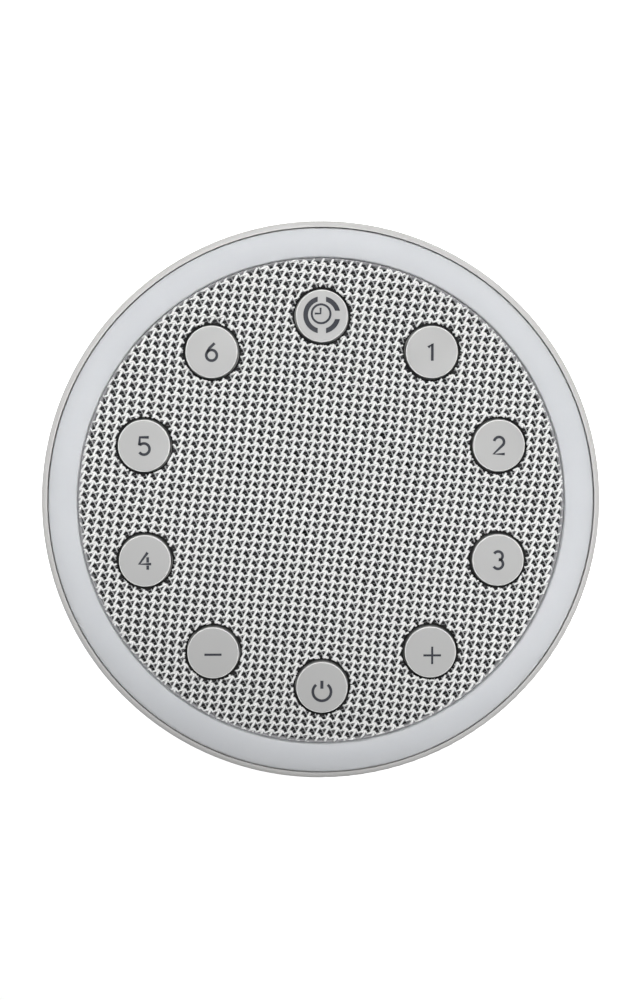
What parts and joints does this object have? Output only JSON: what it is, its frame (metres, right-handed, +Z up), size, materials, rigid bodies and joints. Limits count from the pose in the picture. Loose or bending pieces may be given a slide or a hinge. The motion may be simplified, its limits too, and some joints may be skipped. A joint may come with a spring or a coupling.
{
  "type": "sound machine",
  "caption": "Round table-top sound machine with push buttons on a cloth-covered speaker, a light ring in the rim and a cup-shaped casing.",
  "frame": {"origin": "centre of the foot ring's resting face, on the table, on the machine's axis", "axes": "+Z up along the machine's axis; -Y towards the user, where the power button is; +Y to the rear, where the timer button and the socket are"},
  "size_m": [0.11, 0.11, 0.0518],
  "materials": {
    "casing_plastic": "fine satin moulded plastic, warm light grey",
    "base_plastic": "fine-textured moulded plastic, warm grey",
    "light_plastic": "translucent white satin plastic",
    "tray_plastic": "bright white reflector plastic",
    "cloth": "open-knit pale grey polyester speaker cloth",
    "button_plastic": "satin plastic, warm light grey, printed symbols",
    "frame_plastic": "matt black moulded plastic",
    "foot_rubber": "dark grey anti-slip rubber",
    "black_rubber": "black rubber and foam",
    "lead_skin": "soft insulated leads",
    "circuit_board": "green solder mask on glass-fibre board",
    "led_board_white": "white solder mask on board",
    "led_body": "white chip light with pale yellow phosphor",
    "chip_black": "black moulded chip and switch bodies",
    "connector_plastic": "cream header plastic",
    "ribbon_film": "white flat ribbon",
    "capacitor_can": "sleeved aluminium can",
    "socket_steel": "plated steel shell",
    "screw_steel": "zinc-plated steel",
    "speaker_steel": "grey painted sheet steel",
    "plate_steel": "zinc-plated machined steel",
    "ferrite": "dark sintered ferrite",
    "cone_paper": "pressed black paper pulp",
    "spider_cloth": "resin-dipped yellow cloth",
    "former_paper": "brown former paper",
    "copper": "enamelled copper wire"
  },
  "bodies": {
    "casing": {"outer_housing": "casing_plastic", "base_cover": "base_plastic", "foot_ring": "foot_rubber", "base_screws": "screw_steel", "diffuser_ring": "light_plastic", "light_tray": "tray_plastic", "led_board": "led_board_white", "led_chips": "led_body", "tray_screws": "screw_steel", "speaker_cloth": "cloth", "grille_frame": "frame_plastic", "frame_screws": "screw_steel", "key_board": "circuit_board", "switch_bodies": "chip_black", "key_board_screws": "screw_steel", "key_ribbon": "ribbon_film", "speaker_basket": "speaker_steel", "speaker_gasket": "black_rubber", "speaker_surround": "black_rubber", "speaker_spider": "spider_cloth", "front_plate": "plate_steel", "ring_magnet": "ferrite", "pole_plate": "plate_steel", "speaker_terminals": "former_paper", "speaker_screws": "screw_steel", "tinsel_leads": "copper", "main_board": "circuit_board", "main_board_screws": "screw_steel", "control_chips": "chip_black", "capacitors": "capacitor_can", "board_headers": "connector_plastic", "usb_socket": "socket_steel", "speaker_leads": "lead_skin", "led_leads": "lead_skin"},
    "cone": {"speaker_cone": "cone_paper", "dust_cap": "cone_paper", "coil_former": "former_paper", "voice_coil": "copper"},
    "key_timer": {"button_timer": "button_plastic", "plunger_timer": "chip_black"},
    "key_sound_1": {"button_sound_1": "button_plastic", "plunger_sound_1": "chip_black"},
    "key_sound_2": {"button_sound_2": "button_plastic", "plunger_sound_2": "chip_black"},
    "key_sound_3": {"button_sound_3": "button_plastic", "plunger_sound_3": "chip_black"},
    "key_volume_up": {"button_volume_up": "button_plastic", "plunger_volume_up": "chip_black"},
    "key_power": {"button_power": "button_plastic", "plunger_power": "chip_black"},
    "key_volume_down": {"button_volume_down": "button_plastic", "plunger_volume_down": "chip_black"},
    "key_sound_4": {"button_sound_4": "button_plastic", "plunger_sound_4": "chip_black"},
    "key_sound_5": {"button_sound_5": "button_plastic", "plunger_sound_5": "chip_black"},
    "key_sound_6": {"button_sound_6": "button_plastic", "plunger_sound_6": "chip_black"}
  },
  "joints": [
    {"name": "press_timer", "type": "slide", "parent": "casing", "child": "key_timer", "axis": [0, 0, -1], "range_m": [0, 0.0005], "stiffness_N_per_m": 3000},
    {"name": "press_sound_1", "type": "slide", "parent": "casing", "child": "key_sound_1", "axis": [0, 0, -1], "range_m": [0, 0.0005], "stiffness_N_per_m": 3000},
    {"name": "press_sound_2", "type": "slide", "parent": "casing", "child": "key_sound_2", "axis": [0, 0, -1], "range_m": [0, 0.0005], "stiffness_N_per_m": 3000},
    {"name": "press_sound_3", "type": "slide", "parent": "casing", "child": "key_sound_3", "axis": [0, 0, -1], "range_m": [0, 0.0005], "stiffness_N_per_m": 3000},
    {"name": "press_volume_up", "type": "slide", "parent": "casing", "child": "key_volume_up", "axis": [0, 0, -1], "range_m": [0, 0.0005], "stiffness_N_per_m": 3000},
    {"name": "press_power", "type": "slide", "parent": "casing", "child": "key_power", "axis": [0, 0, -1], "range_m": [0, 0.0005], "stiffness_N_per_m": 3000},
    {"name": "press_volume_down", "type": "slide", "parent": "casing", "child": "key_volume_down", "axis": [0, 0, -1], "range_m": [0, 0.0005], "stiffness_N_per_m": 3000},
    {"name": "press_sound_4", "type": "slide", "parent": "casing", "child": "key_sound_4", "axis": [0, 0, -1], "range_m": [0, 0.0005], "stiffness_N_per_m": 3000},
    {"name": "press_sound_5", "type": "slide", "parent": "casing", "child": "key_sound_5", "axis": [0, 0, -1], "range_m": [0, 0.0005], "stiffness_N_per_m": 3000},
    {"name": "press_sound_6", "type": "slide", "parent": "casing", "child": "key_sound_6", "axis": [0, 0, -1], "range_m": [0, 0.0005], "stiffness_N_per_m": 3000},
    {"name": "cone_stroke", "type": "slide", "parent": "casing", "child": "cone", "axis": [0, 0, 1], "range_m": [-0.001, 0.001], "stiffness_N_per_m": 1500, "deforming": ["speaker_surround", "speaker_spider", "tinsel_leads"]}
  ]
}
